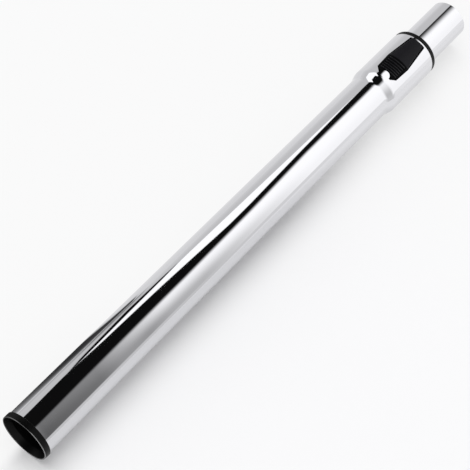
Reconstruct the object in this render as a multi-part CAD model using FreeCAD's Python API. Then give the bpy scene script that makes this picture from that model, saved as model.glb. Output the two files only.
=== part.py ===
import FreeCAD, Part
import math
import os

# Telescopic vacuum wand: a chromed steel tube slides out of a wider one, and a
# see-saw button in the wide tube's bell holds it at a row of stops.
# Millimetres. The wand lies along X, mouth at the low end, button on top.

# Inner tube, its flat and its far end, swaged down to take a floor head
INNER_OD = 32.0
INNER_WALL = 0.5
INNER_SHOWING = 49.4
INNER_STANDOFF = 24.0
FLAT_DEPTH = 0.5
SWAGE_DEPTH = 0.2
SPIGOT_LENGTH = 45.0
SPIGOT_TAPER = 3.0
RIM_BEVEL = 0.2

# Outer tube and its bell
OUTER_WALL = 0.6
BELL_LENGTH = 53.2
SHOULDER_LENGTH = 15.5

# Stops
NOTCH_PITCH = 25.0
NOTCH_COUNT = 13
STOP_GAP = 2.0

# Mouth bush
FLANGE_STEP = 0.75
FLANGE_LENGTH = 4.8
SOCKET_LENGTH = 37.0
LEAD_IN_LENGTH = 5.0
LIP_WIDTH = 0.85
LIP_BEVEL = 0.25

# Window in the bell
RIM_STRIP = 1.2
PLATE_LENGTH = 26.6
PAD_LENGTH = 15.4
LEG_LENGTH = 4.5
LEG_WIDTH = 1.3
PLATE_END_WIDTH = 13.8
CREASE_WIDTH = 19.9
PAD_END_WIDTH = 18.6
TONGUE_WIDTH = 8.6
WINDOW_CORNER = 0.8

# Guide sleeve and its collar
SLEEVE_WALL = 3.3
SLEEVE_SETBACK = 1.0
NOSE_LENGTH = 6.0
NOSE_WALL = 0.9
COLLAR_PROUD = 4.4
COLLAR_STEP = 0.3
COLLAR_BEVEL = 0.4
FLOOR_THICKNESS = 0.6
WIPER_LENGTH = 3.0
WIPER_THICKNESS = 1.1
SPRING_FLOOR = 0.4

# Release button
BUTTON_PROUD = 1.0
BUTTON_LEAN = 0.5
PRESS_ANGLE = 5.0
PIVOT_BEYOND_CREASE = 0.6
TRUNNION_R = 0.9
TRUNNION_LENGTH = 1.9
DISH_DEPTH = 1.8
DISH_RUN = 11.4
DISH_CROWN = 30.0
RIB_COUNT = 6
RIB_PITCH = 2.3
RIB_HEIGHT = 0.45
RIB_FOOT = 1.2
RIB_CREST = 0.4
RIB_MARGIN = 1.0

# Lock roller and return spring
ROLLER_D = 4.0
ROLLER_LENGTH = 8.0
ROLLER_DEPTH = 1.0
ROLLER_FROM_RIM = 9.2
ROLLER_BOSS_WALL = 1.2
ROLLER_BOSS_END = 0.5
SPRING_THICKNESS = 0.3
SPRING_WIDTH = 6.0
SPRING_LENGTH = 9.5
SPRING_FROM_PIVOT = 10.25

# Piston halves and their seal
PISTON_LENGTH = 16.0
PISTON_LUG_D = 4.0
PISTON_LUG_FROM_END = 11.0
SEAL_FROM_END = 3.0
SEAL_LENGTH = 3.0
SEAL_THICKNESS = 0.65

# Clearances
TUBE_GAP = 1.4
SOCKET_GAP = 0.25
PRESS_GAP = 0.05
SEAT_GAP = 0.1
SLIDE_GAP = 0.2
PISTON_GAP = 0.15
SEAL_GAP = 0.05
BUTTON_GAP = 0.35
BUTTON_NEAR_GAP = 0.9
BUTTON_FLOOR_GAP = 0.25
POCKET_GAP = 0.2
NOTCH_GAP = 0.3
ROLLER_GAP = 0.03
BOSS_GAP = 0.4

# Radii that follow from those
INNER_R = INNER_OD / 2
INNER_BORE_R = INNER_R - INNER_WALL
SPIGOT_R = INNER_R - SWAGE_DEPTH
OUTER_BORE_R = INNER_R + TUBE_GAP
OUTER_R = OUTER_BORE_R + OUTER_WALL
SLEEVE_BORE_R = INNER_R + SLIDE_GAP
SLEEVE_R = SLEEVE_BORE_R + SLEEVE_WALL
BELL_BORE_R = SLEEVE_R + SEAT_GAP
BELL_R = BELL_BORE_R + OUTER_WALL
FLANGE_R = OUTER_R + FLANGE_STEP
SOCKET_R = INNER_R + SOCKET_GAP
FLOOR_R = SLEEVE_BORE_R + FLOOR_THICKNESS
BUTTON_R = BELL_R + BUTTON_PROUD
BUTTON_UNDER_R = FLOOR_R + BUTTON_FLOOR_GAP
PISTON_R = OUTER_BORE_R - PISTON_GAP
SEAL_R = OUTER_BORE_R - SEAL_GAP
FLAT_Z = INNER_R - FLAT_DEPTH
ROLLER_R = ROLLER_D / 2
ROLLER_Z = FLAT_Z - ROLLER_DEPTH + ROLLER_R

# Stations along the wand, from the mouth
TRAVEL = NOTCH_PITCH * (NOTCH_COUNT - 1)
X_BUSH_END = LEAD_IN_LENGTH + SOCKET_LENGTH
X_INNER = X_BUSH_END + INNER_STANDOFF
X_NOSE = X_INNER + PISTON_LENGTH + TRAVEL + STOP_GAP
X_SLEEVE = X_NOSE + NOSE_LENGTH
X_BELL = X_SLEEVE - SLEEVE_SETBACK
X_SHOULDER = X_BELL - SHOULDER_LENGTH
X_RIM = X_BELL + BELL_LENGTH
X_COLLAR = X_RIM + COLLAR_PROUD
X_END = X_COLLAR + INNER_SHOWING
X_WINDOW_FAR = X_RIM - RIM_STRIP
X_CREASE = X_WINDOW_FAR - PLATE_LENGTH
X_PAD_END = X_CREASE - PAD_LENGTH
X_LEG_END = X_PAD_END - LEG_LENGTH
X_PIVOT = X_CREASE + PIVOT_BEYOND_CREASE
X_ROLLER = X_RIM - ROLLER_FROM_RIM
X_FLAT_END = X_RIM

# The trunnions stand halfway up the sleeve's wall, at the button's sides
BUTTON_HALF_WIDTH = CREASE_WIDTH / 2 - BUTTON_GAP
Z_PIVOT = math.sqrt(((FLOOR_R + SLEEVE_R) / 2) ** 2 - BUTTON_HALF_WIDTH**2)

ALONG = FreeCAD.Vector(1, 0, 0)
ACROSS = FreeCAD.Vector(0, 1, 0)
UP = FreeCAD.Vector(0, 0, 1)
REACH = 4 * BELL_R


def face_from(start, *moves):
    """A face in the XZ plane: each move is a point, or an arc as (through, end)."""
    at = FreeCAD.Vector(start[0], 0, start[1])
    edges = []
    for move in moves + (start,):
        if isinstance(move[0], tuple):
            through = FreeCAD.Vector(move[0][0], 0, move[0][1])
            end = FreeCAD.Vector(move[1][0], 0, move[1][1])
            edges.append(Part.Arc(at, through, end).toShape())
        else:
            end = FreeCAD.Vector(move[0], 0, move[1])
            edges.append(Part.LineSegment(at, end).toShape())
        at = end
    return Part.Face(Part.Wire(edges))


def turned(start, *moves):
    """A solid of revolution about the wand's axis, from points (x, radius)."""
    return face_from(start, *moves).revolve(FreeCAD.Vector(), ALONG, 360)


def rod(radius, x_start, x_end):
    """A round bar on the wand's axis."""
    return Part.makeCylinder(radius, x_end - x_start, FreeCAD.Vector(x_start, 0, 0), ALONG)


def crossbar(radius, x, z, y_start, y_end):
    """A round bar across the wand."""
    return Part.makeCylinder(radius, y_end - y_start, FreeCAD.Vector(x, y_start, z), ACROSS)


def block(x_start, x_end, half_width, z_start, z_end):
    corner = FreeCAD.Vector(x_start, -half_width, z_start)
    return Part.makeBox(x_end - x_start, 2 * half_width, z_end - z_start, corner)


def flatted_rod(radius, flat_z, x_start, x_end):
    """A bar on the axis with one flat along its top."""
    return rod(radius, x_start, x_end).cut(block(x_start, x_end, radius, flat_z, REACH))


def shoulder_curve(wall):
    """Points of the shoulder's two tangent arcs, moved inwards by a wall."""
    rise = BELL_R - OUTER_R
    bend = (SHOULDER_LENGTH**2 + rise**2) / (4 * rise)
    turn = math.asin(SHOULDER_LENGTH / 2 / bend)
    low_bend = bend + wall
    high_bend = bend - wall

    def low(angle):
        x = X_SHOULDER + low_bend * math.sin(angle)
        return (x, OUTER_R + bend - low_bend * math.cos(angle))

    def high(angle):
        x = X_BELL - high_bend * math.sin(angle)
        return (x, BELL_R - bend + high_bend * math.cos(angle))

    return low(0), (low(turn / 2), low(turn)), (high(turn / 2), high(0))


def window_wire(z, side_grow, far_grow, near_grow):
    """The window's outline at a height, grown at its sides, far end and near end."""
    far = (X_WINDOW_FAR + far_grow, PLATE_END_WIDTH / 2 + side_grow)
    crease = (X_CREASE, CREASE_WIDTH / 2 + side_grow)
    pad = (X_PAD_END - near_grow, PAD_END_WIDTH / 2 + side_grow)
    leg = (X_LEG_END - near_grow, TONGUE_WIDTH / 2 + LEG_WIDTH + side_grow)
    half = [far, crease, pad, leg]
    outline = half + [(x, -y) for x, y in reversed(half)]
    return Part.makePolygon([FreeCAD.Vector(x, y, z) for x, y in outline + outline[:1]])


def window_prism(grow, near_grow):
    """The window's outline with rounded corners, standing on the wand's axis."""
    prism = Part.Face(window_wire(0.0, grow, grow, near_grow)).extrude(UP * REACH)
    upright = [e for e in prism.Edges if abs(e.Vertexes[0].Z - e.Vertexes[-1].Z) > REACH / 2]
    return prism.makeFillet(WINDOW_CORNER, upright)


def tongue(grow):
    """The half-round tongue that the near edge of the window keeps."""
    return Part.makeCylinder(TONGUE_WIDTH / 2 + grow, REACH, FreeCAD.Vector(X_LEG_END, 0, 0), UP)


def outer_tube():
    start, low_arc, high_arc = shoulder_curve(0.0)
    bore_start, bore_low_arc, bore_high_arc = shoulder_curve(OUTER_WALL)
    wall = turned(
        (FLANGE_LENGTH, OUTER_R),
        start,
        low_arc,
        high_arc,
        (X_RIM, BELL_R),
        (X_RIM, BELL_BORE_R),
        bore_high_arc[1],
        (bore_high_arc[0], bore_low_arc[1]),
        (bore_low_arc[0], bore_start),
        (FLANGE_LENGTH, OUTER_BORE_R),
    )
    return wall.cut(window_prism(0.0, 0.0).cut(tongue(0.0)))


def mouth_bush():
    spigot_r = OUTER_BORE_R - PRESS_GAP
    mouth_r = FLANGE_R - LIP_WIDTH
    return turned(
        (FLANGE_LENGTH, spigot_r),
        (X_BUSH_END, spigot_r),
        (X_BUSH_END, SOCKET_R),
        (LEAD_IN_LENGTH, SOCKET_R),
        (0.0, mouth_r),
        (0.0, FLANGE_R - LIP_BEVEL),
        (LIP_BEVEL, FLANGE_R),
        (FLANGE_LENGTH, FLANGE_R),
    )


def inner_tube():
    def bar(radius, spigot_r, inset, x_start):
        cone = X_END - SPIGOT_LENGTH
        body = turned(
            (x_start, 0.0),
            (x_start, radius),
            (cone - SPIGOT_TAPER, radius),
            (cone, spigot_r),
            (X_END + inset - RIM_BEVEL, spigot_r),
            (X_END + inset, spigot_r - RIM_BEVEL),
            (X_END + inset, 0.0),
        )
        flat = block(x_start, X_FLAT_END + inset, radius, FLAT_Z - inset, REACH)
        notch_r = ROLLER_R + NOTCH_GAP + inset
        reach = ROLLER_LENGTH / 2 + NOTCH_GAP + inset
        notches = [
            crossbar(notch_r, X_ROLLER - step * NOTCH_PITCH, ROLLER_Z, -reach, reach)
            for step in range(NOTCH_COUNT)
        ]
        return body.cut([flat] + notches)

    skin = bar(INNER_R, SPIGOT_R, 0.0, X_INNER)
    hollow = bar(INNER_BORE_R, SPIGOT_R - INNER_WALL, INNER_WALL, X_INNER - INNER_WALL)
    lug_r = PISTON_LUG_D / 2 + SEAT_GAP
    lug_holes = crossbar(lug_r, X_INNER + PISTON_LUG_FROM_END, 0.0, -REACH, REACH)
    return skin.cut([hollow, lug_holes])


def guide_sleeve():
    nose_r = INNER_R + SEAT_GAP + WIPER_THICKNESS + SEAT_GAP + NOSE_WALL
    collar_r = BELL_R - COLLAR_STEP
    body = turned(
        (X_NOSE, 0.0),
        (X_NOSE, nose_r),
        (X_SLEEVE, nose_r),
        (X_SLEEVE, SLEEVE_R),
        (X_RIM, SLEEVE_R),
        (X_RIM, collar_r),
        (X_COLLAR - COLLAR_BEVEL, collar_r),
        (X_COLLAR, collar_r - COLLAR_BEVEL),
        (X_COLLAR, 0.0),
    )
    bore = flatted_rod(SLEEVE_BORE_R, FLAT_Z + SLIDE_GAP, X_NOSE, X_FLAT_END - SEAT_GAP)
    collar_bore = rod(SLEEVE_BORE_R, X_FLAT_END - SEAT_GAP, X_COLLAR)
    wiper_seat = rod(nose_r - NOSE_WALL, X_NOSE, X_NOSE + WIPER_LENGTH + 2 * SEAT_GAP)
    pocket = window_prism(POCKET_GAP, POCKET_GAP).cut(rod(FLOOR_R, X_NOSE, X_COLLAR))
    boss_reach = ROLLER_R + ROLLER_BOSS_WALL + BOSS_GAP
    boss_half = ROLLER_LENGTH / 2 + SEAT_GAP + ROLLER_BOSS_END + BOSS_GAP
    boss_slot = block(X_ROLLER - boss_reach, X_ROLLER + boss_reach, boss_half, 0.0, REACH)
    spring_x = X_PIVOT - SPRING_FROM_PIVOT
    spring_reach = SPRING_LENGTH / 2 + BOSS_GAP
    spring_half = SPRING_WIDTH / 2 + BOSS_GAP
    spring_z = FLAT_Z + SLIDE_GAP + SPRING_FLOOR
    spring_well = block(spring_x - spring_reach, spring_x + spring_reach, spring_half, spring_z, REACH)
    hole_r = TRUNNION_R + SEAT_GAP
    inside = BUTTON_HALF_WIDTH - BUTTON_GAP
    outside = BUTTON_HALF_WIDTH + TRUNNION_LENGTH + SEAT_GAP
    trunnion_seats = [
        crossbar(hole_r, X_PIVOT, Z_PIVOT, inside, outside),
        crossbar(hole_r, X_PIVOT, Z_PIVOT, -outside, -inside),
    ]
    cuts = [bore, collar_bore, wiper_seat, pocket, boss_slot, spring_well]
    return body.cut(cuts + trunnion_seats)


def wiper_seal():
    start = X_NOSE + SEAT_GAP
    end = start + WIPER_LENGTH
    bore_r = INNER_R + SEAT_GAP
    bore = flatted_rod(bore_r, FLAT_Z + SEAT_GAP, start, end)
    return rod(bore_r + WIPER_THICKNESS, start, end).cut(bore)


def dish_profile(x):
    """Height of the thumb dish along its middle: an arc down from the crease, then level."""
    low = BUTTON_R - DISH_DEPTH
    bend = (DISH_RUN**2 + DISH_DEPTH**2) / (2 * DISH_DEPTH)
    along = max(0.0, x - (X_CREASE - DISH_RUN))
    return low + bend - math.sqrt(bend**2 - along**2)


def crowned(face):
    """A solid turned about an axis below the wand's, so that it is nearly flat across."""
    return face.revolve(FreeCAD.Vector(0, 0, BUTTON_R - DISH_CROWN), ALONG, 360)


def release_button():
    # Its sides lean in from where they leave the window
    window_z = math.sqrt(BELL_R**2 - (CREASE_WIDTH / 2) ** 2)
    foot_grow = BUTTON_LEAN * window_z - BUTTON_GAP
    head_grow = BUTTON_LEAN * (window_z - BUTTON_R) - BUTTON_GAP
    foot = window_wire(0.0, foot_grow, -BUTTON_GAP, -BUTTON_NEAR_GAP)
    head = window_wire(BUTTON_R, head_grow, -BUTTON_GAP, -BUTTON_NEAR_GAP)
    leaning = Part.makeLoft([foot, head], True, True)
    outline = window_prism(-BUTTON_GAP, -BUTTON_NEAR_GAP)
    blank = outline.common(leaning).common(rod(BUTTON_R, X_LEG_END, X_RIM))

    # The thumb dish runs out through the crown at the crease
    bend_x = X_CREASE - DISH_RUN
    middle_x = X_CREASE - DISH_RUN / 2
    out_x = X_CREASE + RIB_PITCH
    low = dish_profile(bend_x)
    top = dish_profile(out_x) + BUTTON_PROUD
    dish = face_from(
        (X_LEG_END - LEG_LENGTH, low),
        (bend_x, low),
        ((middle_x, dish_profile(middle_x)), (out_x, dish_profile(out_x))),
        (out_x, top),
        (X_LEG_END - LEG_LENGTH, top),
    )
    pad = blank.cut([crowned(dish), tongue(BUTTON_NEAR_GAP)])

    rib_field = window_prism(-BUTTON_GAP - RIB_MARGIN, -BUTTON_NEAR_GAP - RIB_MARGIN)
    rib_field = rib_field.cut(tongue(BUTTON_NEAR_GAP + RIB_MARGIN))
    ribs = []
    for index in range(RIB_COUNT):
        x = X_CREASE - (index + 1) * RIB_PITCH
        foot_z = dish_profile(x) - RIB_HEIGHT
        crest_z = dish_profile(x) + RIB_HEIGHT
        ridge = face_from(
            (x - RIB_FOOT / 2, foot_z),
            (x - RIB_CREST / 2, crest_z),
            (x + RIB_CREST / 2, crest_z),
            (x + RIB_FOOT / 2, foot_z),
        )
        ribs.append(crowned(ridge).common(rib_field))

    # The underside clears the pocket's floor both at rest and pressed
    floor = rod(BUTTON_UNDER_R, X_NOSE, X_COLLAR)
    pressed_floor = floor.copy()
    pressed_floor.rotate(FreeCAD.Vector(X_PIVOT, 0, Z_PIVOT), ACROSS, PRESS_ANGLE)
    shell = pad.fuse(ribs).cut([floor, pressed_floor])

    boss_reach = ROLLER_R + ROLLER_BOSS_WALL
    boss_half = ROLLER_LENGTH / 2 + SEAT_GAP + ROLLER_BOSS_END
    boss_low = ROLLER_Z - NOTCH_GAP
    boss = block(X_ROLLER - boss_reach, X_ROLLER + boss_reach, boss_half, boss_low, BELL_R)
    seat_half = ROLLER_LENGTH / 2 + SEAT_GAP
    roller_seat = crossbar(ROLLER_R + ROLLER_GAP, X_ROLLER, ROLLER_Z, -seat_half, seat_half)

    reach = BUTTON_HALF_WIDTH + TRUNNION_LENGTH
    root = BUTTON_HALF_WIDTH - TRUNNION_R
    trunnions = [
        crossbar(TRUNNION_R, X_PIVOT, Z_PIVOT, root, reach),
        crossbar(TRUNNION_R, X_PIVOT, Z_PIVOT, -reach, -root),
    ]
    room = rod(SLEEVE_R - SEAT_GAP, X_NOSE, X_COLLAR)
    trunnions = [trunnion.common(room) for trunnion in trunnions]
    return shell.fuse([boss] + trunnions).cut(roller_seat)


def lock_roller():
    return crossbar(ROLLER_R, X_ROLLER, ROLLER_Z, -ROLLER_LENGTH / 2, ROLLER_LENGTH / 2)


def return_spring():
    half = SPRING_LENGTH / 2
    x = X_PIVOT - SPRING_FROM_PIVOT
    low = FLAT_Z + SLIDE_GAP + SPRING_FLOOR + PRESS_GAP
    under_z = math.sqrt(BUTTON_UNDER_R**2 - (SPRING_WIDTH / 2) ** 2)
    lift = SPRING_FROM_PIVOT * math.sin(math.radians(PRESS_ANGLE))
    high = under_z + lift - SEAT_GAP
    leaf = face_from(
        (x - half, low),
        ((x, high - SPRING_THICKNESS), (x + half, low)),
        (x + half, low + SPRING_THICKNESS),
        ((x, high), (x - half, low + SPRING_THICKNESS)),
    )
    leaf.translate(ACROSS * (-SPRING_WIDTH / 2))
    return leaf.extrude(ACROSS * SPRING_WIDTH)


def piston_half(side):
    start = X_INNER
    end = X_INNER + PISTON_LENGTH
    bore = flatted_rod(INNER_R + PRESS_GAP, FLAT_Z + PRESS_GAP, start, end)
    groove_start = start + SEAL_FROM_END
    groove_end = groove_start + SEAL_LENGTH + 2 * SEAT_GAP
    groove_r = SEAL_R - SEAL_THICKNESS - SEAT_GAP
    groove = rod(PISTON_R, groove_start, groove_end).cut(rod(groove_r, groove_start, groove_end))
    ring = rod(PISTON_R, start, end).cut([bore, groove])
    corner = FreeCAD.Vector(start, SEAT_GAP / 2, -REACH)
    keep = Part.makeBox(PISTON_LENGTH, REACH, 2 * REACH, corner)
    half = ring.common(keep)
    lug_x = start + PISTON_LUG_FROM_END
    lug = crossbar(PISTON_LUG_D / 2, lug_x, 0.0, INNER_BORE_R, PISTON_R - PISTON_GAP)
    half = half.fuse(lug)
    if side < 0:
        half = half.mirror(FreeCAD.Vector(), ACROSS)
    return half


def piston_seal():
    start = X_INNER + SEAL_FROM_END + SEAT_GAP
    end = start + SEAL_LENGTH
    return rod(SEAL_R, start, end).cut(rod(SEAL_R - SEAL_THICKNESS, start, end))


PIECES = {
    "outer_tube": outer_tube(),
    "mouth_bush": mouth_bush(),
    "guide_sleeve": guide_sleeve(),
    "wiper_seal": wiper_seal(),
    "release_button": release_button(),
    "lock_roller": lock_roller(),
    "return_spring": return_spring(),
    "inner_tube": inner_tube(),
    "piston_half_left": piston_half(1),
    "piston_half_right": piston_half(-1),
    "piston_seal": piston_seal(),
}

# The wand lies on the floor on its bell, with the origin under its middle
LYING = FreeCAD.Vector(-X_END / 2, 0, BELL_R)

os.makedirs("parts", exist_ok=True)
for name, shape in PIECES.items():
    shape.translate(LYING)
    shape.exportStep(f"parts/{name}.step")
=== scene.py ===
import math

import bmesh
import bpy
from mathutils import Matrix, Vector


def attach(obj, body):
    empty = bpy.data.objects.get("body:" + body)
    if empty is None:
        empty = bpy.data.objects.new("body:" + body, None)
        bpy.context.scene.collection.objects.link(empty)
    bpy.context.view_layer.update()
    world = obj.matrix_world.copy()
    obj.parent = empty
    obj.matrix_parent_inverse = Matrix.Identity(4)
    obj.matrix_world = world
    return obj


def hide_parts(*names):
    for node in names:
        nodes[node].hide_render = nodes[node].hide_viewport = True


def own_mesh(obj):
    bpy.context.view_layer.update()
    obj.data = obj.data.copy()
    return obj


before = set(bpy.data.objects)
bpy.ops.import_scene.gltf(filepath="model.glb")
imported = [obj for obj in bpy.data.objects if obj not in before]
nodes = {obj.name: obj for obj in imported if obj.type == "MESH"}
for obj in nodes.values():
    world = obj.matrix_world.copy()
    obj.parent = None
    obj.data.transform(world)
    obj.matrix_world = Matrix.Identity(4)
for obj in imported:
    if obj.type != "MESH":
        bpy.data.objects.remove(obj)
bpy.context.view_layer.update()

# Outer tube: thin welded steel, drawn to size, swelled into a bell at its far end and
# chrome plated. The bell has a punched window for the button, with a half-round tongue
# of metal left standing at its near edge.
MM = 0.001
AXIS_Z = 20.2 * MM
TUBE_R = 18.0 * MM
BELL_R = 20.2 * MM
TUBE_WALL = 0.6 * MM
TUBE_START = -243.2 * MM
SHOULDER_START = 133.8 * MM
SHOULDER_LENGTH = 10.5 * MM
SHOULDER_BLEND = 0.3
TUBE_RIM = 194.2 * MM
TUBE_RINGS = 56
TUBE_SEGMENTS = 240
# The window and its tongue, in millimetres
WINDOW_FAR_X = 193.0
CREASE_X = 166.4
PAD_END_X = 151.0
LEG_END_X = 146.5
PLATE_END_HALF = 6.9
CREASE_HALF = 9.95
PAD_END_HALF = 9.3
LEG_HALF = 5.6
TONGUE_R = 4.3
WINDOW_CORNER = 0.8
# How meshes are cleaned and smoothed
ARC_STEPS = 6
SAME_POINT = 1e-7
NO_LENGTH = 1e-8
SHARP_ANGLE = math.radians(35)


def linear(hex_colour):
    """An sRGB hex colour as linear RGBA."""
    parts = [int(hex_colour[i : i + 2], 16) / 255 for i in (1, 3, 5)]
    return [c / 12.92 if c <= 0.04045 else ((c + 0.055) / 1.055) ** 2.4 for c in parts] + [1.0]


def add(tree, kind, inputs=None, **settings):
    """A node with its settings, and its inputs set or linked."""
    node = tree.nodes.new(kind)
    for name, value in settings.items():
        setattr(node, name, value)
    for socket, value in (inputs or {}).items():
        if isinstance(value, bpy.types.Node):
            value = value.outputs[0]
        if isinstance(value, bpy.types.NodeSocket):
            tree.links.new(value, node.inputs[socket])
        else:
            node.inputs[socket].default_value = value
    return node


def finish_of(name, colour, roughness, metallic=0.0, ior=None, gloss=None):
    """A new material and its shader node. What isn't given keeps the shader's own value."""
    material = bpy.data.materials.new(name)
    material.use_nodes = True
    shader = material.node_tree.nodes["Principled BSDF"]
    shader.inputs["Base Color"].default_value = linear(colour)
    for socket, value in (
        ("Roughness", roughness),
        ("Metallic", metallic),
        ("IOR", ior),
        ("Specular IOR Level", gloss),
    ):
        if value is not None:
            shader.inputs[socket].default_value = value
    return material, shader


def piece(name, vertices, faces, material):
    """A plain mesh object, smooth except at its sharp edges."""
    mesh = bpy.data.meshes.new(name)
    mesh.from_pydata(vertices, [], faces)
    made = bmesh.new()
    made.from_mesh(mesh)
    bmesh.ops.remove_doubles(made, verts=made.verts, dist=SAME_POINT)
    bmesh.ops.dissolve_degenerate(made, edges=made.edges, dist=NO_LENGTH)
    bmesh.ops.recalc_face_normals(made, faces=made.faces)
    made.to_mesh(mesh)
    made.free()
    mesh.shade_smooth()
    mesh.set_sharp_from_angle(angle=SHARP_ANGLE)
    mesh.materials.append(material)
    made_object = bpy.data.objects.new(name, mesh)
    bpy.context.scene.collection.objects.link(made_object)
    return made_object


def rounded(points, radius):
    """A closed outline with each corner turned on an arc of that radius."""
    outline = []
    for index, point in enumerate(points):
        corner = Vector(point)
        before = (Vector(points[index - 1]) - corner).normalized()
        after = (Vector(points[(index + 1) % len(points)]) - corner).normalized()
        half = before.angle(after) / 2
        centre = corner + (before + after).normalized() * (radius / math.sin(half))
        start = corner + before * (radius / math.tan(half)) - centre
        end = corner + after * (radius / math.tan(half)) - centre
        for step in range(ARC_STEPS + 1):
            blend = start.lerp(end, step / ARC_STEPS).normalized() * radius
            outline.append(tuple(centre + blend))
    return outline


# Chrome plate over polished steel: a bluish mirror, with the faint haze of buffing, whose
# clouds are drawn coarser than they are so that they show
HAZE_SIZE = 9.0 * MM
HAZE_DETAIL = 3.0
NOISE_LOW = 0.3
NOISE_HIGH = 0.7
CHROME_ROUGHNESS = 0.05
HAZE_ROUGHNESS = 0.02
chrome, chrome_shader = finish_of(
    "chrome_plated_steel",
    "#D3D3D6",
    roughness=CHROME_ROUGHNESS,
    metallic=1.0,
)
tree = chrome.node_tree
place = add(tree, "ShaderNodeTexCoord")
haze = add(
    tree,
    "ShaderNodeTexNoise",
    {"Vector": place.outputs["Object"], "Scale": 1 / HAZE_SIZE, "Detail": HAZE_DETAIL},
)
haze_range = add(
    tree,
    "ShaderNodeMapRange",
    {
        "Value": haze.outputs["Fac"],
        "From Min": NOISE_LOW,
        "From Max": NOISE_HIGH,
        "To Min": CHROME_ROUGHNESS - HAZE_ROUGHNESS,
        "To Max": CHROME_ROUGHNESS + HAZE_ROUGHNESS,
    },
)
tree.links.new(haze_range.outputs["Result"], chrome_shader.inputs["Roughness"])

# The punch that makes the window: eight rounded corners, and the tongue's arc at the near edge
PUNCH_LOW = 6.0
PUNCH_HIGH = 26.0
TONGUE_STEPS = 32
window_corners = [
    (WINDOW_FAR_X, PLATE_END_HALF),
    (CREASE_X, CREASE_HALF),
    (PAD_END_X, PAD_END_HALF),
    (LEG_END_X, LEG_HALF),
]
window_corners += [(x, -y) for x, y in reversed(window_corners)]
window = rounded(window_corners, WINDOW_CORNER)
tongue_place = len(window) // 2
tongue_arc = []
for step in range(TONGUE_STEPS + 1):
    turn = math.pi * (0.5 - step / TONGUE_STEPS)
    tongue_arc.append((LEG_END_X + TONGUE_R * math.cos(turn), TONGUE_R * math.sin(turn)))
window = window[:tongue_place] + tongue_arc + window[tongue_place:]
count = len(window)
punch_points = [(x * MM, y * MM, AXIS_Z + PUNCH_LOW * MM) for x, y in window]
punch_points += [(x * MM, y * MM, AXIS_Z + PUNCH_HIGH * MM) for x, y in window]
punch_faces = [tuple(range(count)), tuple(range(count, 2 * count))]
punch_faces += [(i, (i + 1) % count, (i + 1) % count + count, i + count) for i in range(count)]
punch = piece("window_punch", punch_points, punch_faces, chrome)

# The tube's rule: a closed wall profile of two runs, outside and inside, turned about the axis.
# A flat grid gives its columns to the rings and its rows to the turn.
drawn = bpy.data.node_groups.new("drawn_tube", "GeometryNodeTree")
for name, kind in (
    ("Start", "NodeSocketFloat"),
    ("Shoulder Start", "NodeSocketFloat"),
    ("Shoulder Length", "NodeSocketFloat"),
    ("Shoulder Blend", "NodeSocketFloat"),
    ("Rim", "NodeSocketFloat"),
    ("Tube Radius", "NodeSocketFloat"),
    ("Bell Radius", "NodeSocketFloat"),
    ("Wall", "NodeSocketFloat"),
    ("Axis Height", "NodeSocketFloat"),
    ("Rings", "NodeSocketInt"),
    ("Segments", "NodeSocketInt"),
    ("Punch", "NodeSocketObject"),
    ("Finish", "NodeSocketMaterial"),
):
    drawn.interface.new_socket(name, in_out="INPUT", socket_type=kind)
drawn.interface.new_socket("Tube", in_out="OUTPUT", socket_type="NodeSocketGeometry")
rule = dict(add(drawn, "NodeGroupInput").outputs.items())
flat = add(drawn, "ShaderNodeSeparateXYZ", {0: add(drawn, "GeometryNodeInputPosition")}).outputs
rule["across"] = flat["X"]
rule["turn"] = flat["Y"]
STRAIGHT_SHARE = 0.12
BELL_SHARE = 0.88
SEAM_DISTANCE = 1e-6
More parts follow.
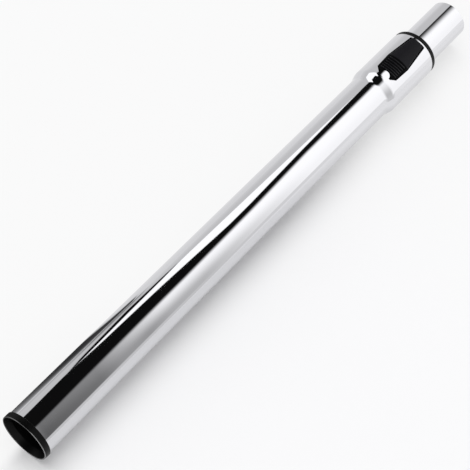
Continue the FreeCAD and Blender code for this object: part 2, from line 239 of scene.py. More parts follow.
for result, operation, *values in (
    ("columns", "MULTIPLY", "Rings", 2.0),
    ("grid columns", "ADD", "columns", 1.0),
    ("grid rows", "ADD", "Segments", 1.0),
    # Which ring a column is, counted up the outside and back down the inside
    ("column", "ADD", "across", 0.5),
    ("column", "MULTIPLY", "column", "columns"),
    ("column", "ROUND", "column"),
    ("column", "MODULO", "column", "columns"),
    ("outside end", "SUBTRACT", "Rings", 0.5),
    ("inside", "GREATER_THAN", "column", "outside end"),
    ("last column", "SUBTRACT", "columns", 1.0),
    ("way back", "SUBTRACT", "last column", "column"),
    ("turned back", "SUBTRACT", "way back", "column"),
    ("ring", "MULTIPLY_ADD", "inside", "turned back", "column"),
    ("last ring", "SUBTRACT", "Rings", 1.0),
    ("along", "DIVIDE", "ring", "last ring"),
    # Few rings on the straight runs, most of them in the shoulder
    ("tube share", "DIVIDE", "along", STRAIGHT_SHARE),
    ("tube share", "MINIMUM", "tube share", 1.0),
    ("tube length", "SUBTRACT", "Shoulder Start", "Start"),
    ("x", "MULTIPLY_ADD", "tube share", "tube length", "Start"),
    ("climb", "SUBTRACT", "along", STRAIGHT_SHARE),
    ("climb", "DIVIDE", "climb", BELL_SHARE - STRAIGHT_SHARE),
    ("climb", "MAXIMUM", "climb", 0.0),
    ("climb", "MINIMUM", "climb", 1.0),
    ("x", "MULTIPLY_ADD", "climb", "Shoulder Length", "x"),
    ("bell share", "SUBTRACT", "along", BELL_SHARE),
    ("bell share", "DIVIDE", "bell share", 1.0 - BELL_SHARE),
    ("bell share", "MAXIMUM", "bell share", 0.0),
    ("bell start", "ADD", "Shoulder Start", "Shoulder Length"),
    ("bell length", "SUBTRACT", "Rim", "bell start"),
    ("x", "MULTIPLY_ADD", "bell share", "bell length", "x"),
    # The shoulder is a cone, with a tangent curve over the blend's share of it at each end
    ("rising", "MINIMUM", "climb", "Shoulder Blend"),
    ("rising", "MULTIPLY", "rising", "rising"),
    ("settling", "ADD", "climb", "Shoulder Blend"),
    ("settling", "SUBTRACT", "settling", 1.0),
    ("settling", "MAXIMUM", "settling", 0.0),
    ("settling", "MULTIPLY", "settling", "settling"),
    ("curved", "SUBTRACT", "rising", "settling"),
    ("curved", "DIVIDE", "curved", "Shoulder Blend"),
    ("cone", "SUBTRACT", "climb", "Shoulder Blend"),
    ("cone", "MAXIMUM", "cone", 0.0),
    ("swell", "MULTIPLY_ADD", "curved", 0.5, "cone"),
    ("steep share", "SUBTRACT", 1.0, "Shoulder Blend"),
    ("swell", "DIVIDE", "swell", "steep share"),
    ("growth", "SUBTRACT", "Bell Radius", "Tube Radius"),
    ("radius", "MULTIPLY_ADD", "swell", "growth", "Tube Radius"),
    ("bored", "MULTIPLY", "inside", "Wall"),
    ("radius", "SUBTRACT", "radius", "bored"),
    ("sine", "SINE", "turn"),
    ("cosine", "COSINE", "turn"),
    ("y", "MULTIPLY", "radius", "sine"),
    ("z", "MULTIPLY_ADD", "radius", "cosine", "Axis Height"),
):
    sums = {socket: rule.get(value, value) for socket, value in enumerate(values)}
    rule[result] = add(drawn, "ShaderNodeMath", sums, operation=operation)
grid = add(
    drawn,
    "GeometryNodeMeshGrid",
    {
        "Size X": 1.0,
        "Size Y": 2 * math.pi,
        "Vertices X": rule["grid columns"],
        "Vertices Y": rule["grid rows"],
    },
)
turned_place = add(drawn, "ShaderNodeCombineXYZ", {"X": rule["x"], "Y": rule["y"], "Z": rule["z"]})
wall = add(drawn, "GeometryNodeSetPosition", {"Geometry": grid, "Position": turned_place})
wall = add(drawn, "GeometryNodeMergeByDistance", {"Geometry": wall, "Distance": SEAM_DISTANCE})
punch_shape = add(drawn, "GeometryNodeObjectInfo", {"Object": rule["Punch"]})
punched = add(
    drawn,
    "GeometryNodeMeshBoolean",
    {"Mesh 1": wall, "Mesh 2": punch_shape.outputs["Geometry"]},
    operation="DIFFERENCE",
    solver="EXACT",
)
real = add(drawn, "GeometryNodeRealizeInstances", {"Geometry": punched})
plated = add(drawn, "GeometryNodeSetMaterial", {"Geometry": real, "Material": rule["Finish"]})
add(drawn, "NodeGroupOutput", {"Tube": plated})


def grown(name, tree, sizes):
    """The plain mesh that a tree makes with these sizes, as a new object."""
    seed = bpy.data.objects.new(name, bpy.data.meshes.new(name))
    bpy.context.scene.collection.objects.link(seed)
    modifier = seed.modifiers.new(name, "NODES")
    modifier.node_group = tree
    sockets = {s.name: s.identifier for s in tree.interface.items_tree if s.in_out == "INPUT"}
    for size, value in sizes.items():
        modifier[sockets[size]] = value
    evaluated = seed.evaluated_get(bpy.context.evaluated_depsgraph_get())
    mesh = bpy.data.meshes.new_from_object(evaluated)
    seed.modifiers.remove(modifier)
    seed.data = mesh
    return seed


outer_tube = grown(
    "drawn_outer_tube",
    drawn,
    {
        "Start": TUBE_START,
        "Shoulder Start": SHOULDER_START,
        "Shoulder Length": SHOULDER_LENGTH,
        "Shoulder Blend": SHOULDER_BLEND,
        "Rim": TUBE_RIM,
        "Tube Radius": TUBE_R,
        "Bell Radius": BELL_R,
        "Wall": TUBE_WALL,
        "Axis Height": AXIS_Z,
        "Rings": TUBE_RINGS,
        "Segments": TUBE_SEGMENTS,
        "Punch": punch,
        "Finish": chrome,
    },
)
bpy.data.objects.remove(punch)


def shoulder_slope(x):
    """How steeply the tube's radius grows at a place along it."""
    climb = (x - SHOULDER_START) / SHOULDER_LENGTH
    if not 0.0 < climb < 1.0:
        return 0.0
    steepest = (BELL_R - TUBE_R) / SHOULDER_LENGTH / (1 - SHOULDER_BLEND)
    return steepest * min(1.0, climb / SHOULDER_BLEND, (1 - climb) / SHOULDER_BLEND)


# A face whose normal agrees this well with the turned skin's belongs to that skin
ON_SKIN = 0.99


def true_round(obj, slope_at):
    """Gives a turned skin its exact normals, so that a mirror finish shows no facets."""
    mesh = obj.data
    mesh.shade_smooth()
    mesh.set_sharp_from_angle(angle=SHARP_ANGLE)
    normals = [Vector() for _ in mesh.loops]
    for face in mesh.polygons:
        for loop in face.loop_indices:
            x, y, z = mesh.vertices[mesh.loops[loop].vertex_index].co
            exact = Vector((-slope_at(x) * math.hypot(y, z - AXIS_Z), y, z - AXIS_Z)).normalized()
            if abs(face.normal.dot(exact)) > ON_SKIN:
                normals[loop] = exact if face.normal.dot(exact) > 0 else -exact
    mesh.normals_split_custom_set(normals)


true_round(outer_tube, shoulder_slope)
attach(outer_tube, "outer")
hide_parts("outer_tube")

# Mouth bush: a black moulded socket pressed into the near end, with a flange that
# stops against the tube and a thin rounded lip that the handle's spigot enters by.
NEAR_X = -248.0
BUSH_END_X = -206.0
BUSH_R = 17.35
BUSH_BORE_R = 16.25
FLANGE_R = 18.75
FLANGE_END_X = TUBE_START / MM
LEAD_IN_R = 17.9
LEAD_IN_END_X = -243.0
LIP_ROUND = 0.3
LIP_DEPTH = 0.4
TURNED_SEGMENTS = 160

# Moulded ABS, finely textured by its mould: a deep black that hardly shines
ABS_IOR = 1.53
abs_black, _ = finish_of("black_moulded_abs", "#060606", roughness=0.4, ior=ABS_IOR, gloss=0.1)


def turned(name, profile, material):
    """A closed profile of (x, radius) in millimetres, turned about the wand's axis."""
    rows = len(profile)
    vertices = []
    faces = []
    for index in range(TURNED_SEGMENTS):
        turn = 2 * math.pi * index / TURNED_SEGMENTS
        for x, r in profile:
            vertices.append((x * MM, r * MM * math.sin(turn), AXIS_Z + r * MM * math.cos(turn)))
        here = index * rows
        there = (index + 1) % TURNED_SEGMENTS * rows
        for row in range(rows):
            after = (row + 1) % rows
            faces.append((here + row, here + after, there + after, there + row))
    return piece(name, vertices, faces, material)


bush_profile = rounded(
    [
        (FLANGE_END_X, BUSH_R),
        (BUSH_END_X, BUSH_R),
        (BUSH_END_X, BUSH_BORE_R),
        (LEAD_IN_END_X, BUSH_BORE_R),
        (NEAR_X, LEAD_IN_R),
        (NEAR_X, FLANGE_R),
        (FLANGE_END_X, FLANGE_R),
    ],
    LIP_ROUND,
)
mouth_bush = turned("mouth_bush_moulding", bush_profile, abs_black)

# The lip is the mould's polished parting face, and catches the light as a thin bright ring
lip_gloss, _ = finish_of("polished_abs_lip", "#0B0B0C", roughness=0.15, ior=2.0, gloss=1.0)
mouth_bush.data.materials.append(lip_gloss)
for face in mouth_bush.data.polygons:
    if face.center.x < (NEAR_X + LIP_DEPTH) * MM:
        face.material_index = 1
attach(mouth_bush, "outer")
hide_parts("mouth_bush")

# Guide sleeve: black moulding inside the bell that the inner tube slides in. Its collar
# closes the bell's rim, and a pocket under the window carries the button.
guide_sleeve = nodes["guide_sleeve"]


def refinish(node, material):
    """Gives a piece one material in place of those it came with."""
    node.data.materials.clear()
    node.data.materials.append(material)


refinish(guide_sleeve, abs_black)

# Seals: a pressed felt ring in the sleeve's nose wipes the inner tube, and a moulded rubber
# ring seals the piston. Both hug steel and are matt.
rubber, _ = finish_of("moulded_rubber", "#181818", roughness=0.75)
felt, _ = finish_of("pressed_felt", "#8F8F8F", roughness=0.95)
for name, material, slot in (
    ("wiper_seal", felt, "grey_felt"),
    ("piston_seal", rubber, "seal_rubber"),
):
    refinish(nodes[name], material)

# Release button: one satin black moulding in the window. A smooth plate lies over the lock
# roller, and a thumb dish slopes down from the crease, so that the button tips like a see-saw.
button_black, _ = finish_of("satin_black_button", "#0D0C11", roughness=0.5, ior=ABS_IOR, gloss=0.12)
BUTTON_R = 21.2
BUTTON_GAP = 0.35
NEAR_GAP = 0.9
BUTTON_LEAN = 0.5
BUTTON_EDGE = 0.55
WINDOW_Z = 17.58
UNDER_R = 17.05
DISH_DEPTH = 1.8
DISH_RUN = 11.4
DISH_CROWN = 30.0
DISH_BEND = (DISH_RUN**2 + DISH_DEPTH**2) / (2 * DISH_DEPTH)
PRESS_SLOPE = math.tan(math.radians(5.0))
PIVOT_X = 167.0
THINNEST_PRONG = 0.05
BUTTON_ROWS = 150
BUTTON_COLUMNS = 40
button_near = LEG_END_X + NEAR_GAP
button_far = WINDOW_FAR_X - BUTTON_GAP
side_stations = [
    (button_near, LEG_HALF - BUTTON_GAP),
    (PAD_END_X + NEAR_GAP, PAD_END_HALF - BUTTON_GAP),
    (CREASE_X, CREASE_HALF - BUTTON_GAP),
    (button_far, PLATE_END_HALF - BUTTON_GAP),
]


def button_half_width(x):
    """Half the button's width, straight from one corner of the window to the next."""
    for (x0, w0), (x1, w1) in zip(side_stations, side_stations[1:]):
        if x <= x1:
            return w0 + (w1 - w0) * (x - x0) / (x1 - x0)
    return side_stations[-1][1]


def notch_half_width(x):
    """Half the width of the bay that clears the tongue."""
    reach = (TONGUE_R + NEAR_GAP) ** 2 - (x - LEG_END_X) ** 2
    return math.sqrt(reach) if reach > 0 else 0.0


def dish_height(x):
    """Height of the dish's hollow arc above the wand's axis, along its middle."""
    run = min(DISH_BEND, max(0.0, x - (CREASE_X - DISH_RUN)))
    return BUTTON_R - DISH_DEPTH + DISH_BEND - math.sqrt(DISH_BEND**2 - run**2)


def button_top(x, y):
    """Height of the button's skin above the wand's axis, before its edges are rolled over."""
    crown = math.sqrt(BUTTON_R**2 - y**2)
    dish = BUTTON_R - DISH_CROWN + math.sqrt((dish_height(x) - BUTTON_R + DISH_CROWN) ** 2 - y**2)
    return min(crown, dish)


def button_under(x, y):
    """Height of the button's underside, raised under the dish to leave room for the press."""
    return math.sqrt(UNDER_R**2 - y**2) + max(0.0, PRESS_SLOPE * (PIVOT_X - x))


# Each half is a row of closed sections: over the top, down the leaning flank to the window's
# edge, and back along the underside
button_points = []
button_faces = []
button_length = button_far - button_near
xs = [button_near + button_length * row / BUTTON_ROWS for row in range(BUTTON_ROWS + 1)]
spreads = [math.sin(c / BUTTON_COLUMNS * math.pi / 2) for c in range(BUTTON_COLUMNS + 1)]
for side in (1, -1):
    base = len(button_points)
    for x in xs:
        inner = notch_half_width(x)
        outer = max(button_half_width(x), inner + THINNEST_PRONG)
        lean_in = BUTTON_LEAN * max(0.0, button_top(x, outer) - WINDOW_Z)
        lean_in = min(lean_in, (outer - inner) / 2)
        for spread in spreads:
            y = inner + (outer - lean_in - inner) * spread
            edge = min(outer - lean_in - y, button_far - x, x - button_near)
            if inner:
                edge = min(edge, math.hypot(x - LEG_END_X, y) - TONGUE_R - NEAR_GAP)
            roll = max(0.0, BUTTON_EDGE - max(0.0, edge))
            drop = BUTTON_EDGE - math.sqrt(BUTTON_EDGE**2 - roll**2)
            button_points.append((x, side * y, button_top(x, y) - drop))
        shelf = min(max(WINDOW_Z, button_under(x, outer)), button_points[-1][2])
        button_points.append((x, side * outer, shelf))
        for spread in reversed(spreads):
            y = inner + (outer - inner) * spread
            button_points.append((x, side * y, button_under(x, y)))
    around = 2 * len(spreads) + 1
    for row in range(BUTTON_ROWS):
        for column in range(around - 1):
            a = base + row * around + column
            button_faces.append((a, a + 1, a + 1 + around, a + around))
        if notch_half_width(xs[row]) or notch_half_width(xs[row + 1]):
            a = base + row * around
            button_faces.append((a, a + around, a + 2 * around - 1, a + around - 1))
    for row in (0, BUTTON_ROWS):
        start = base + row * around
        button_faces.append(tuple(range(start, start + around)))
button_points = [(x * MM, y * MM, AXIS_Z + z * MM) for x, y, z in button_points]
button = piece("release_button_moulding", button_points, button_faces, button_black)

# The dish is matt, and coloured blacker than the plate
dish_black, _ = finish_of("matt_black_dish", "#050506", roughness=0.7, ior=ABS_IOR, gloss=0.05)
button.data.materials.append(dish_black)
for face in button.data.polygons:
    if face.center.x < CREASE_X * MM:
        face.material_index = 1
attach(button, "button")
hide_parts("release_button")

# Thumb ribs: six low rounded bars moulded across the dish for grip, each bent to its crown.
# Thumbs rub them smooth, so that they shine more than the dish between them.
rib_black, _ = finish_of("rubbed_black_ribs", "#0D0C11", roughness=0.35, ior=ABS_IOR, gloss=0.25)
RIB_COUNT = 6
RIB_PITCH = 2.3
RIB_R = 0.55
RIB_SPAN = 15.2
RIB_STEPS = 48
RIB_SIDES = 14
RIB_SHARP_ANGLE = math.radians(50)
UPRIGHT = (math.pi / 2, 0.0, math.pi / 2)
ribs = bpy.data.node_groups.new("thumb_ribs", "GeometryNodeTree")
for name, kind in (
    ("Count", "NodeSocketInt"),
    ("Pitch", "NodeSocketFloat"),
    ("First", "NodeSocketFloat"),
    ("Dish End", "NodeSocketFloat"),
    ("Dish Bend", "NodeSocketFloat"),
    ("Dish Low", "NodeSocketFloat"),
    ("Crown", "NodeSocketFloat"),
    ("Span", "NodeSocketFloat"),
    ("Bar Radius", "NodeSocketFloat"),
    ("Finish", "NodeSocketMaterial"),
):
    ribs.interface.new_socket(name, in_out="INPUT", socket_type=kind)
ribs.interface.new_socket("Ribs", in_out="OUTPUT", socket_type="NodeSocketGeometry")
rule = dict(add(ribs, "NodeGroupInput").outputs.items())
spot = add(ribs, "ShaderNodeSeparateXYZ", {0: add(ribs, "GeometryNodeInputPosition")})
rule["x"] = spot.outputs["X"]
for result, operation, *values in (
    ("step", "MULTIPLY", "Pitch", -1.0),
    # The height of the dish's hollow arc under each bar
    ("run", "SUBTRACT", "x", "Dish End"),
    ("run", "MAXIMUM", "run", 0.0),
    ("run", "MULTIPLY", "run", "run"),
    ("fall", "MULTIPLY", "Dish Bend", "Dish Bend"),
    ("fall", "SUBTRACT", "fall", "run"),
    ("fall", "SQRT", "fall"),
    ("height", "ADD", "Dish Low", "Dish Bend"),
    ("height", "SUBTRACT", "height", "fall"),
    ("height", "SUBTRACT", "height", "Crown"),
    # The bar's own arc, as long as its span and even about the middle
    ("sweep", "DIVIDE", "Span", "Crown"),
    ("start", "MULTIPLY_ADD", "sweep", -0.5, math.pi / 2),
):
    sums = {socket: rule.get(value, value) for socket, value in enumerate(values)}
    rule[result] = add(ribs, "ShaderNodeMath", sums, operation=operation)
row = add(
    ribs,
    "GeometryNodeMeshLine",
    {
        "Count": rule["Count"],
        "Start Location": add(ribs, "ShaderNodeCombineXYZ", {"X": rule["First"]}),
        "Offset": add(ribs, "ShaderNodeCombineXYZ", {"X": rule["step"]}),
    },
)
seat = add(ribs, "ShaderNodeCombineXYZ", {"X": rule["x"], "Z": rule["height"]})
spots = add(ribs, "GeometryNodeSetPosition", {"Geometry": row, "Position": seat})
bow = add(
    ribs,
    "GeometryNodeCurveArc",
    {
        "Resolution": RIB_STEPS,
        "Radius": rule["Crown"],
        "Start Angle": rule["start"],
        "Sweep Angle": rule["sweep"],
    },
)
upright = add(ribs, "GeometryNodeTransform", {"Geometry": bow, "Rotation": UPRIGHT})
section = add(
    ribs,
    "GeometryNodeCurvePrimitiveCircle",
    {"Resolution": RIB_SIDES, "Radius": rule["Bar Radius"]},
)
bar = add(
    ribs,
    "GeometryNodeCurveToMesh",
    {"Curve": upright, "Profile Curve": section, "Fill Caps": True},
)
bars = add(ribs, "GeometryNodeInstanceOnPoints", {"Points": spots, "Instance": bar})
real = add(ribs, "GeometryNodeRealizeInstances", {"Geometry": bars})
moulded = add(ribs, "GeometryNodeSetMaterial", {"Geometry": real, "Material": rule["Finish"]})
add(ribs, "NodeGroupOutput", {"Ribs": moulded})
thumb_ribs = grown(
    "thumb_ribs",
    ribs,
    {
        "Count": RIB_COUNT,
        "Pitch": RIB_PITCH * MM,
        "First": (CREASE_X - RIB_PITCH) * MM,
        "Dish End": (CREASE_X - DISH_RUN) * MM,
        "Dish Bend": DISH_BEND * MM,
        "Dish Low": AXIS_Z + (BUTTON_R - DISH_DEPTH) * MM,
        "Crown": (DISH_CROWN - DISH_DEPTH) * MM,
        "Span": RIB_SPAN * MM,
        "Bar Radius": RIB_R * MM,
        "Finish": rib_black,
    },
)
thumb_ribs.data.shade_smooth()
thumb_ribs.data.set_sharp_from_angle(angle=RIB_SHARP_ANGLE)
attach(thumb_ribs, "button")

# Lock roller and return spring: a ground steel pin snapped under the plate, and a bowed
# leaf of spring steel below the dish. Both are bright, with a soft sheen.
steel, _ = finish_of("ground_steel", "#CDCDCE", roughness=0.25, metallic=1.0)
for name in ("lock_roller", "return_spring"):
    refinish(nodes[name], steel)
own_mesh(nodes["return_spring"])

# Inner tube: the same chromed steel, with a flat and a row of pressed notches along its top
# for the lock, and an end swaged down to take a floor head.
inner_tube = nodes["inner_tube"].copy()
inner_tube.data = nodes["inner_tube"].data.copy()
inner_tube.name = "drawn_inner_tube"
bpy.context.scene.collection.objects.link(inner_tube)
refinish(inner_tube, chrome)
skin = bmesh.new()
skin.from_mesh(inner_tube.data)
bmesh.ops.remove_doubles(skin, verts=skin.verts, dist=SAME_POINT)
skin.to_mesh(inner_tube.data)
skin.free()
true_round(inner_tube, lambda x: 0.0)
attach(inner_tube, "inner")
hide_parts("inner_tube")

# Piston: two black moulded half rings clipped round the inner tube's near end, which keep
# it centred in the outer tube.
for name in ("piston_half_left", "piston_half_right"):
    refinish(nodes[name], abs_black)

# Floor: a wide sheet of matt white paper, tipped a hair so that the wand touches it both at
# its flange and at its bell.
PAPER_WHITE = "#F4F4F5"
paper, paper_shader = finish_of("white_paper", PAPER_WHITE, roughness=0.9)
FLOOR_HALF = 3.0
FLOOR_TIP = 0.00375
corners = [(-FLOOR_HALF, -FLOOR_HALF), (FLOOR_HALF, -FLOOR_HALF)]
corners += [(FLOOR_HALF, FLOOR_HALF), (-FLOOR_HALF, FLOOR_HALF)]
bell_rest = SHOULDER_START + SHOULDER_LENGTH

# Painted light on the paper: it glows, most beyond the wand and more towards the bell, which thins the
# wand's shadow there. The chrome alone sees two more painted marks: the paper painted brighter in
# front of the bell, and a painted strip of shade that runs off at a slant from beside the mouth.
# Ranges are in metres.
WHITE_LIGHT = linear("#FFFFFF")
# The colour of the painted strip of shade, which only the chrome sees
PAINTED_STRIP_SHADE = "#2C2C2D"
STRIP_SLANT = 1.2
END_SLANT = 2.42
BACKDROP = 0.955
# How strongly the paper glows with painted light beyond the wand and at the bell, and how much more
# painted light the chrome sees on it in front of the bell
GLOW_BEYOND = 0.85
GLOW_AT_BELL = 0.6
PAINTED_BELL_LIGHT = 0.23
tree = paper.node_tree
spot = add(tree, "ShaderNodeSeparateXYZ", {0: add(tree, "ShaderNodeTexCoord").outputs["Object"]})
rule = {**spot.outputs, **add(tree, "ShaderNodeLightPath").outputs}
for result, slant in (("off strip", STRIP_SLANT), ("off end", END_SLANT)):
    sums = {0: rule["X"], 1: -slant, 2: rule["Y"]}
    rule[result] = add(tree, "ShaderNodeMath", sums, operation="MULTIPLY_ADD")
for result, value, start, end in (
    ("towards bell", "X", 0.0, 0.17),
    ("beyond", "Y", -0.005, 0.005),
    ("clear of wand", "Y", -0.03, -0.07),
    ("past near edge", "off strip", 0.205, 0.23),
    ("before far edge", "off strip", 0.60, 0.26),
    ("short of end", "off end", 0.29, 0.315),
):
    rule[result] = add(
        tree,
        "ShaderNodeMapRange",
        {"Value": rule[value], "From Min": start, "From Max": end},
        interpolation_type="SMOOTHSTEP",
    )
for result, operation, *values in (
    ("shade", "MULTIPLY", "past near edge", "before far edge"),
    ("shade", "MULTIPLY", "shade", "short of end"),
    ("shade", "MULTIPLY", "shade", "beyond"),
    ("shade", "MULTIPLY", "shade", "Is Glossy Ray"),
    ("glow", "MULTIPLY", "beyond", GLOW_BEYOND),
    ("bell glow", "MULTIPLY", "towards bell", GLOW_AT_BELL),
    ("glow", "MAXIMUM", "glow", "bell glow"),
    ("shown", "MAXIMUM", "Is Camera Ray", "Is Glossy Ray"),
    ("shown", "MAXIMUM", "shown", "Is Transmission Ray"),
    ("shown", "SUBTRACT", "shown", "shade"),
    ("glow", "MULTIPLY", "glow", "shown"),
    ("lift", "MULTIPLY", "clear of wand", "towards bell"),
    ("lift", "MULTIPLY", "lift", "Is Glossy Ray"),
    ("strength", "MULTIPLY_ADD", "lift", PAINTED_BELL_LIGHT, BACKDROP),
):
    sums = {socket: rule.get(value, value) for socket, value in enumerate(values)}
    rule[result] = add(tree, "ShaderNodeMath", sums, operation=operation)
# A colour mix goes by the numbers of its sockets: its two colours are 6 and 7, its result is 2
# The paper's colour, with the strip's painted shade mixed in where only the chrome sees it
paper_with_painted_shade = add(
    tree,
    "ShaderNodeMix",
    {0: rule["shade"], 6: linear(PAPER_WHITE), 7: linear(PAINTED_STRIP_SHADE)},
    data_type="RGBA",
)
tree.links.new(paper_with_painted_shade.outputs[2], paper_shader.inputs["Base Color"])
# The paper's painted glow, with the painted light that only the chrome sees in front of the bell
lit = add(tree, "ShaderNodeEmission", {"Color": WHITE_LIGHT, "Strength": rule["strength"]})
glowing = add(tree, "ShaderNodeMixShader", {0: rule["glow"], 1: paper_shader, 2: lit})
tree.links.new(glowing.outputs[0], tree.nodes["Material Output"].inputs["Surface"])
floor = piece(
    "paper_floor",
    [(x, y, FLOOR_TIP * (bell_rest - x)) for x, y in corners],
    [(0, 1, 2, 3)],
    paper,
)

# Light tent: white panels arched over the wand with a dark gap between them, and an unlit
# corner towards the mouth. Only the chrome shows it. Edges are angles round the wand in
# degrees, panels are strengths of light, and both follow the place along the tent in metres.
TENT_R = 0.6
TENT_ENDS = (-1.5, 2.0)
TENT_SPAN = 184.0
TENT_STEPS = 92
WHITE_PANEL = 1.52
DARK_GAP = 0.006
SIDE_WALL = 0.775
SIDE_WALL_FOOT = 0.15
ROOM_LIGHT = 0.64
tent_cloth = bpy.data.materials.new("tent_cloth")
tent_cloth.use_nodes = True
tree = tent_cloth.node_tree
tree.nodes.clear()
way = add(tree, "ShaderNodeSeparateXYZ", {0: add(tree, "ShaderNodeTexCoord").outputs["Object"]})
rule = dict(way.outputs.items())
rule["lighting"] = add(tree, "ShaderNodeLightPath").outputs["Diffuse Depth"]
for result, stations in (
    # The dark gap's lower edge and how soft it is, and its upper edge
    (
        "gap low",
        (
            (-0.05, -11.0), (0.01, -9.0), (0.19, -6.5), (0.32, -0.5),
            (0.43, 10.0), (0.555, 10.5), (0.59, 22.0), (0.70, 14.0),
        ),
    ),
    ("low blur", ((-0.04, 5.0), (0.11, 8.0), (0.555, 8.0), (0.59, 4.0), (0.70, 20.0))),
    (
        "gap high",
        (
            (-0.05, 56.0), (0.0, 59.5), (0.06, 49.5), (0.16, 41.0), (0.28, 24.0),
            (0.32, 24.5), (0.43, 35.0), (0.55, 42.5), (0.71, 36.0),
        ),
    ),
    # The far panel's top edge, and half the width of its stand's dark bar along that edge
    ("panel top", ((0.0, 56.0), (0.03, 61.0), (0.11, 69.0), (0.21, 67.0), (0.55, 43.3), (0.71, 36.0))),
    ("stand half", ((0.0, 0.0), (0.03, 5.5), (0.11, 7.5), (0.17, 4.5), (0.205, 0.0))),
    # The near panel's light, how much of it is lost low down, and the edge and light of its foot
    (
        "near panel",
        ((-0.15, WHITE_PANEL), (-0.06, 0.23), (0.03, 0.37), (0.15, 1.35), (0.30, WHITE_PANEL)),
    ),
    ("near fall", ((0.06, 0.3), (0.11, 0.55), (0.21, 0.5), (0.42, 0.08))),
    ("foot", ((0.24, -80.5), (0.34, -76.5))),
    ("near foot", ((0.22, 0.8), (0.34, 0.92), (0.43, 1.0), (0.565, 1.1), (0.64, 1.2), (0.75, 1.15))),
    # How much light the far wall loses in the unlit corner
    (
        "corner",
        ((-0.12, 0.0), (-0.05, 0.25), (0.015, 0.4), (0.06, 0.68), (0.13, 0.70), (0.155, 0.0)),
    ),
):
    curve = add(tree, "ShaderNodeFloatCurve", {"Value": rule["X"]})
    curve.mapping.use_clip = False
    curve.mapping.extend = "HORIZONTAL"
    points = curve.mapping.curves[0].points
    for _ in stations[2:]:
        points.new(0.0, 0.0)
    for point, station in zip(points, stations):
        point.location = station
        point.handle_type = "VECTOR"
    curve.mapping.update()
    rule[result] = curve
for result, operation, *values in (
    ("height", "SUBTRACT", "Z", AXIS_Z),
    ("angle", "ARCTAN2", "Y", "height"),
    ("angle", "MULTIPLY", "angle", 180 / math.pi),
    ("past foot", "SUBTRACT", "angle", "foot"),
    ("past low", "SUBTRACT", "angle", "gap low"),
    ("past low", "DIVIDE", "past low", "low blur"),
    ("past high", "SUBTRACT", "angle", "gap high"),
    ("past top", "SUBTRACT", "angle", "panel top"),
    ("past stand", "ABSOLUTE", "past top"),
    ("past stand", "SUBTRACT", "past stand", "stand half"),
):
    sums = {socket: rule.get(value, value) for socket, value in enumerate(values)}
    rule[result] = add(tree, "ShaderNodeMath", sums, operation=operation)
for result, value, start, end in (
    ("in gap", "past low", -1.0, 1.0),
    ("past gap", "past high", -1.5, 1.5),
    ("past panel", "past top", -2.0, 2.0),
    ("off stand", "past stand", -1.5, 1.5),
    ("low down", "angle", -10.0, -68.0),
    ("at foot", "past foot", 2.0, -2.0),
    ("in corner", "angle", 76.0, 92.0),
    ("wall foot", "angle", 70.0, 95.0),
):
    rule[result] = add(
        tree,
        "ShaderNodeMapRange",
        {"Value": rule[value], "From Min": start, "From Max": end},
        interpolation_type="SMOOTHSTEP",
    )
for result, operation, *values in (
    ("kept", "MULTIPLY", "near fall", "low down"),
    ("kept", "SUBTRACT", 1.0, "kept"),
    ("level", "MULTIPLY", "near panel", "kept"),
    ("change", "SUBTRACT", "near foot", "level"),
    ("level", "MULTIPLY_ADD", "at foot", "change", "level"),
    ("change", "SUBTRACT", DARK_GAP, "level"),
    ("level", "MULTIPLY_ADD", "in gap", "change", "level"),
    ("wall", "MULTIPLY", "corner", "in corner"),
    ("wall", "SUBTRACT", SIDE_WALL, "wall"),
    ("wall", "MULTIPLY_ADD", "wall foot", SIDE_WALL_FOOT, "wall"),
    ("change", "SUBTRACT", "wall", WHITE_PANEL),
    ("far", "MULTIPLY_ADD", "past panel", "change", WHITE_PANEL),
    ("far", "MULTIPLY", "far", "off stand"),
    ("change", "SUBTRACT", "far", "level"),
    ("level", "MULTIPLY_ADD", "past gap", "change", "level"),
    # What the chrome throws on the paper is the plain room's light
    ("lighting", "MINIMUM", "lighting", 1.0),
    ("change", "SUBTRACT", ROOM_LIGHT, "level"),
    ("level", "MULTIPLY_ADD", "lighting", "change", "level"),
):
    sums = {socket: rule.get(value, value) for socket, value in enumerate(values)}
    rule[result] = add(tree, "ShaderNodeMath", sums, operation=operation)
glow = add(tree, "ShaderNodeEmission", {"Color": WHITE_LIGHT, "Strength": rule["level"]})
add(tree, "ShaderNodeOutputMaterial", {"Surface": glow})
tent_points = []
for step in range(TENT_STEPS + 1):
    turn = math.radians(TENT_SPAN * (step / TENT_STEPS - 0.5))
    for x in TENT_ENDS:
        tent_points.append((x, TENT_R * math.sin(turn), AXIS_Z + TENT_R * math.cos(turn)))
tent_faces = [(2 * i, 2 * i + 1, 2 * i + 3, 2 * i + 2) for i in range(TENT_STEPS)]
tent = piece("light_tent", tent_points, tent_faces, tent_cloth)
for ray in ("camera", "diffuse", "transmission", "volume_scatter", "shadow"):
    setattr(tent, "visible_" + ray, False)

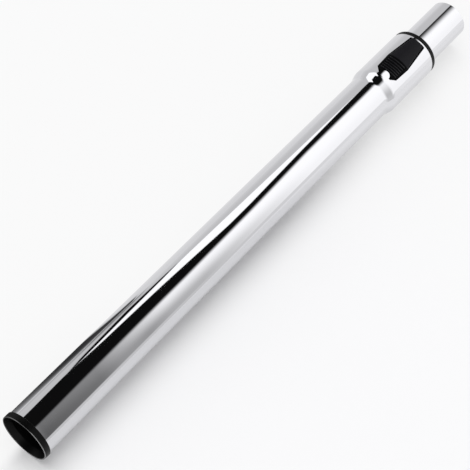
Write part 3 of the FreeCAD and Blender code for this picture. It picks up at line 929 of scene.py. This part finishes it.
# Room and key lamp: plain white all round, and one very broad soft light from the wand's far
# side, which lays its shadow on the near side.
KEY_STRENGTH = 1.4
KEY_SPREAD = math.radians(48)
KEY_FROM = Vector((0.05, 0.35, 0.935))
room = bpy.data.worlds.new("white_room")
room.use_nodes = True
bpy.context.scene.world = room
tree = room.node_tree
tree.nodes.clear()
path = add(tree, "ShaderNodeLightPath").outputs
shown = path["Is Camera Ray"]
for ray in ("Is Glossy Ray", "Is Transmission Ray"):
    shown = add(tree, "ShaderNodeMath", {0: shown, 1: path[ray]}, operation="MAXIMUM")
level = add(
    tree,
    "ShaderNodeMapRange",
    {"Value": shown, "To Min": ROOM_LIGHT, "To Max": BACKDROP},
)
glow = add(tree, "ShaderNodeBackground", {"Color": WHITE_LIGHT, "Strength": level})
add(tree, "ShaderNodeOutputWorld", {"Surface": glow})
key = bpy.data.lights.new("soft_key", "SUN")
key.energy = KEY_STRENGTH
key.angle = KEY_SPREAD
key_light = bpy.data.objects.new("soft_key", key)
key_light.rotation_euler = (-KEY_FROM).to_track_quat("-Z", "Y").to_euler()
key_light.visible_glossy = False
bpy.context.scene.collection.objects.link(key_light)

# Camera: a long lens over the mouth's end, turned so that the wand runs corner to corner. The
# last fractions of its aim and roll were fitted to the outline in the photo.
LENS_LENGTH = 103.35
FILM_WIDTH = 36.0
CAMERA_PLACE = (-0.498, -0.156, 0.8532)
AIM = (0.481, 0.158, -0.862)
AIM_RIGHT = (0.622, -0.758, 0.206)
TURN_LEFT = 0.00118
TIP_DOWN = 0.00041
ROLL = 0.003
lens = bpy.data.cameras.new("camera")
lens.lens = LENS_LENGTH
lens.sensor_width = FILM_WIDTH
look = Vector(AIM).normalized()
right = Vector(AIM_RIGHT).normalized()
up = right.cross(look).normalized()
look = (look - right * TURN_LEFT - up * TIP_DOWN).normalized()
right = (look.cross(up) + up * ROLL).normalized()
up = right.cross(look).normalized()
turned_to = Matrix((right, up, -look)).transposed().to_4x4()
camera = bpy.data.objects.new("camera", lens)
camera.matrix_world = Matrix.Translation(CAMERA_PLACE) @ turned_to
bpy.context.scene.collection.objects.link(camera)
bpy.context.scene.camera = camera

bpy.context.scene.view_settings.view_transform = "Standard"
